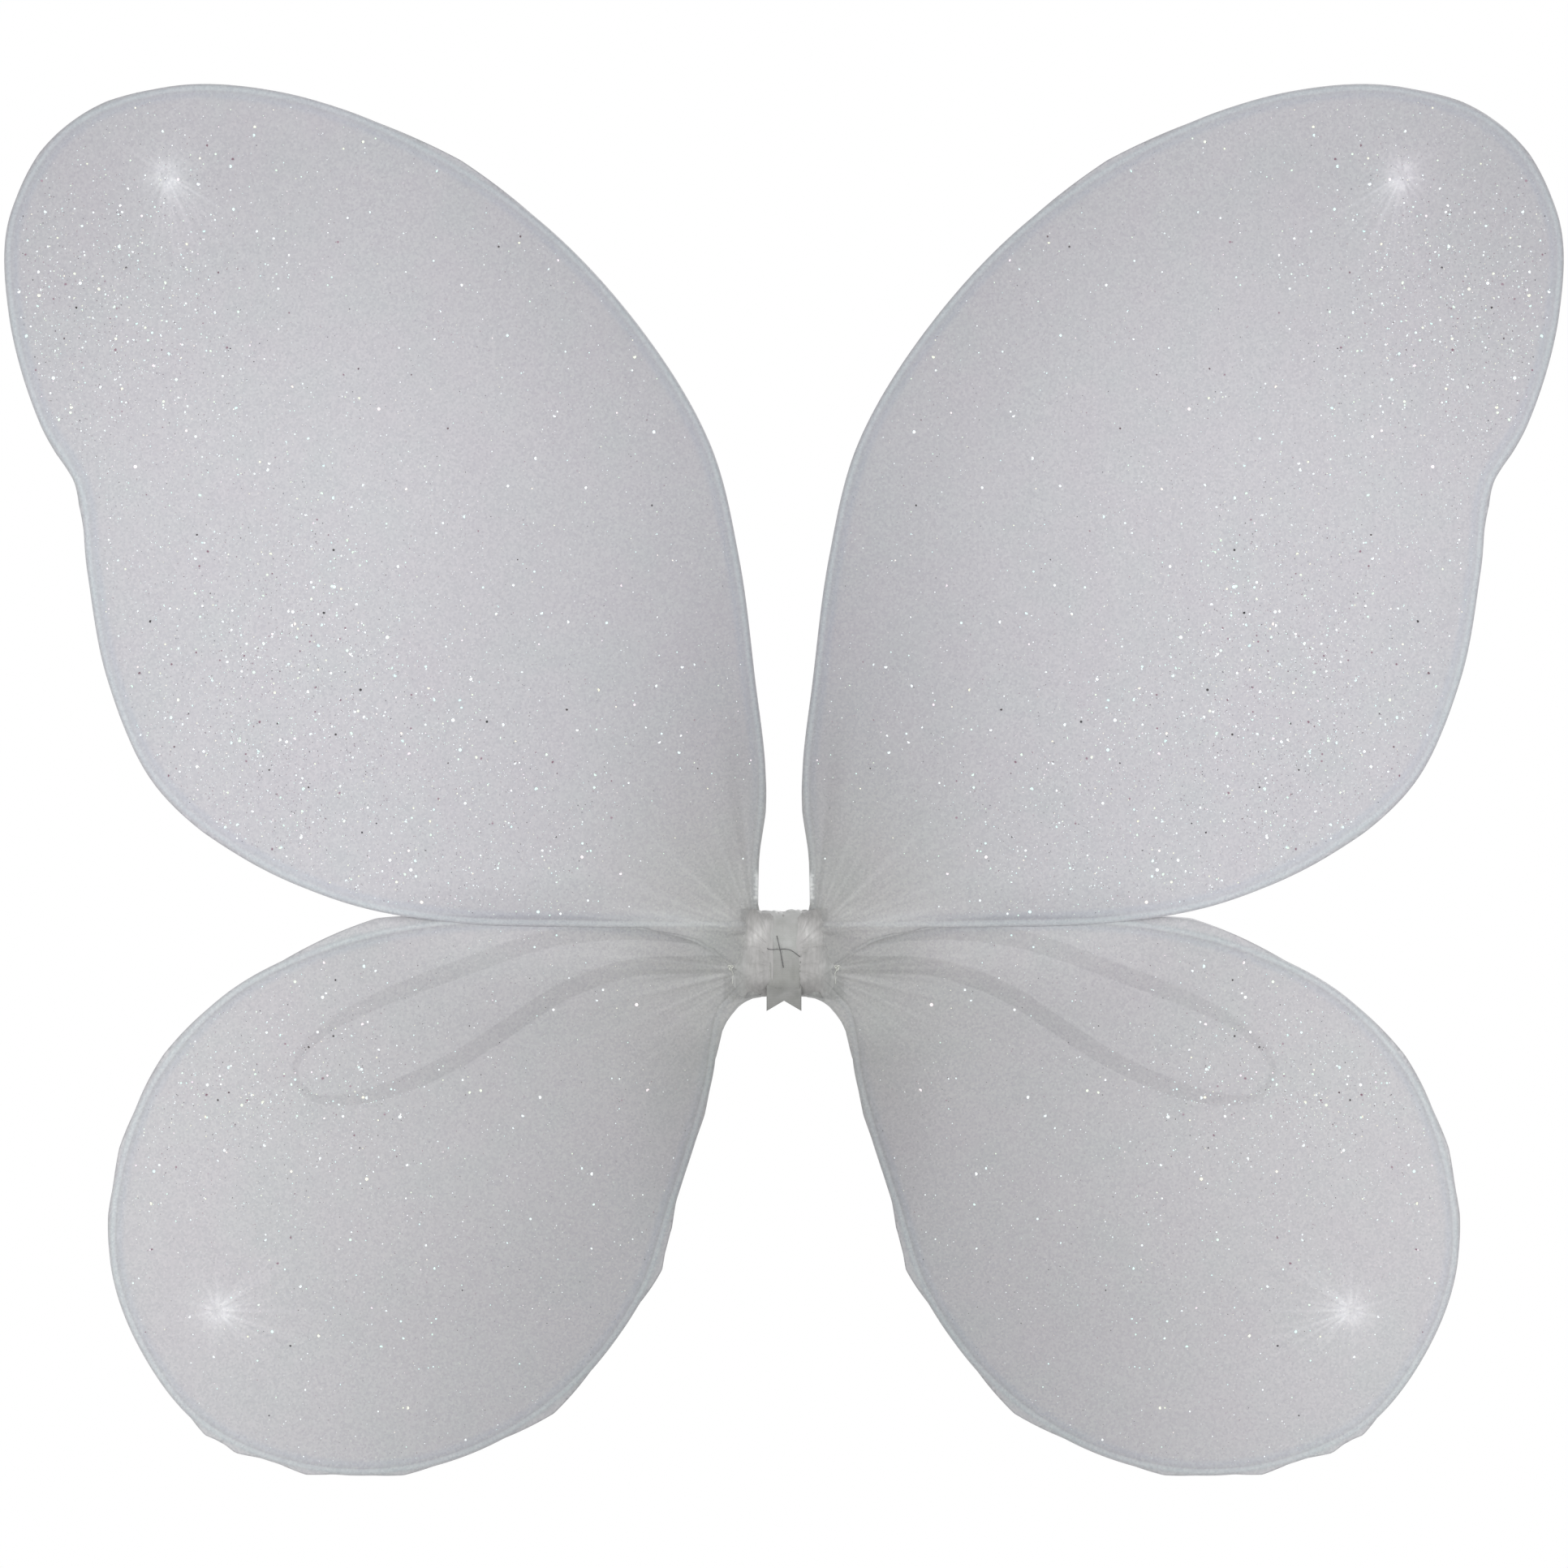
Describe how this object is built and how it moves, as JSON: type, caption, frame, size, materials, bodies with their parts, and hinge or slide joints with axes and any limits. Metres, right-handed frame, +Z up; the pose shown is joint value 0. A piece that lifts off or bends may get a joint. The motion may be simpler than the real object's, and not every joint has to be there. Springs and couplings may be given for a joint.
{
  "type": "costume fairy wings",
  "caption": "Sheer glitter-nylon costume wings on bent-wire loops, folding from a ribbon-wrapped hub with flat elastic arm loops behind.",
  "frame": {"origin": "middle of the hub's flat back, where it rests between the wearer's shoulder blades", "axes": "+X across the wings to the right as seen from outside, +Z up, +Y towards the wearer's back; the outer face looks along -Y"},
  "size_m": [0.5198, 0.0191, 0.4643],
  "materials": {
    "upper_nylon": "sheer stretch nylon with iridescent glitter",
    "lower_nylon": "sheer stretch nylon with iridescent glitter",
    "coated_wire": "smooth white plastic-coated steel wire",
    "bunched_nylon": "bunched nylon set in clear glue",
    "ribbon": "soft woven ribbon",
    "elastic": "flat braided elastic",
    "thread": "white sewing thread",
    "stitching": "dark grey sewing thread"
  },
  "bodies": {
    "hub": {"hub_core": "bunched_nylon", "wire_ends": "coated_wire", "wire_lashing": "thread", "ribbon_wrap": "ribbon", "ribbon_stitches": "stitching"},
    "right_lower_wing": {"right_lower_frame": "coated_wire", "right_lower_sleeve": "lower_nylon", "right_lower_root_thread": "thread", "right_lower_tip_thread": "thread"},
    "right_upper_wing": {"right_upper_frame": "coated_wire", "right_upper_sleeve": "upper_nylon", "right_upper_root_thread": "thread", "right_upper_tip_thread": "thread"},
    "right_arm_loop": {"right_strap": "elastic", "right_strap_tack": "thread"},
    "left_lower_wing": {"left_lower_frame": "coated_wire", "left_lower_sleeve": "lower_nylon", "left_lower_root_thread": "thread", "left_lower_tip_thread": "thread"},
    "left_upper_wing": {"left_upper_frame": "coated_wire", "left_upper_sleeve": "upper_nylon", "left_upper_root_thread": "thread", "left_upper_tip_thread": "thread"},
    "left_arm_loop": {"left_strap": "elastic", "left_strap_tack": "thread"}
  },
  "joints": [
    {"name": "right_lower_fold", "type": "hinge", "parent": "hub", "child": "right_lower_wing", "pos_m": [0.01, -0.0115, 0], "axis": [0, 0, -1], "range_deg": [0, 60]},
    {"name": "right_upper_fold", "type": "hinge", "parent": "right_lower_wing", "child": "right_upper_wing", "pos_m": [0.01, -0.0115, 0], "axis": [0, 0, -1], "range_deg": [0, 25]},
    {"name": "right_loop_swing", "type": "hinge", "parent": "hub", "child": "right_arm_loop", "pos_m": [0.007, -0.0012, 0], "axis": [0, 0, 1], "range_deg": [0, 90]},
    {"name": "left_lower_fold", "type": "hinge", "parent": "hub", "child": "left_lower_wing", "pos_m": [-0.01, -0.0115, 0], "axis": [0, 0, 1], "range_deg": [0, 60]},
    {"name": "left_upper_fold", "type": "hinge", "parent": "left_lower_wing", "child": "left_upper_wing", "pos_m": [-0.01, -0.0115, 0], "axis": [0, 0, 1], "range_deg": [0, 25]},
    {"name": "left_loop_swing", "type": "hinge", "parent": "hub", "child": "left_arm_loop", "pos_m": [-0.007, -0.0012, 0], "axis": [0, 0, -1], "range_deg": [0, 90]}
  ]
}
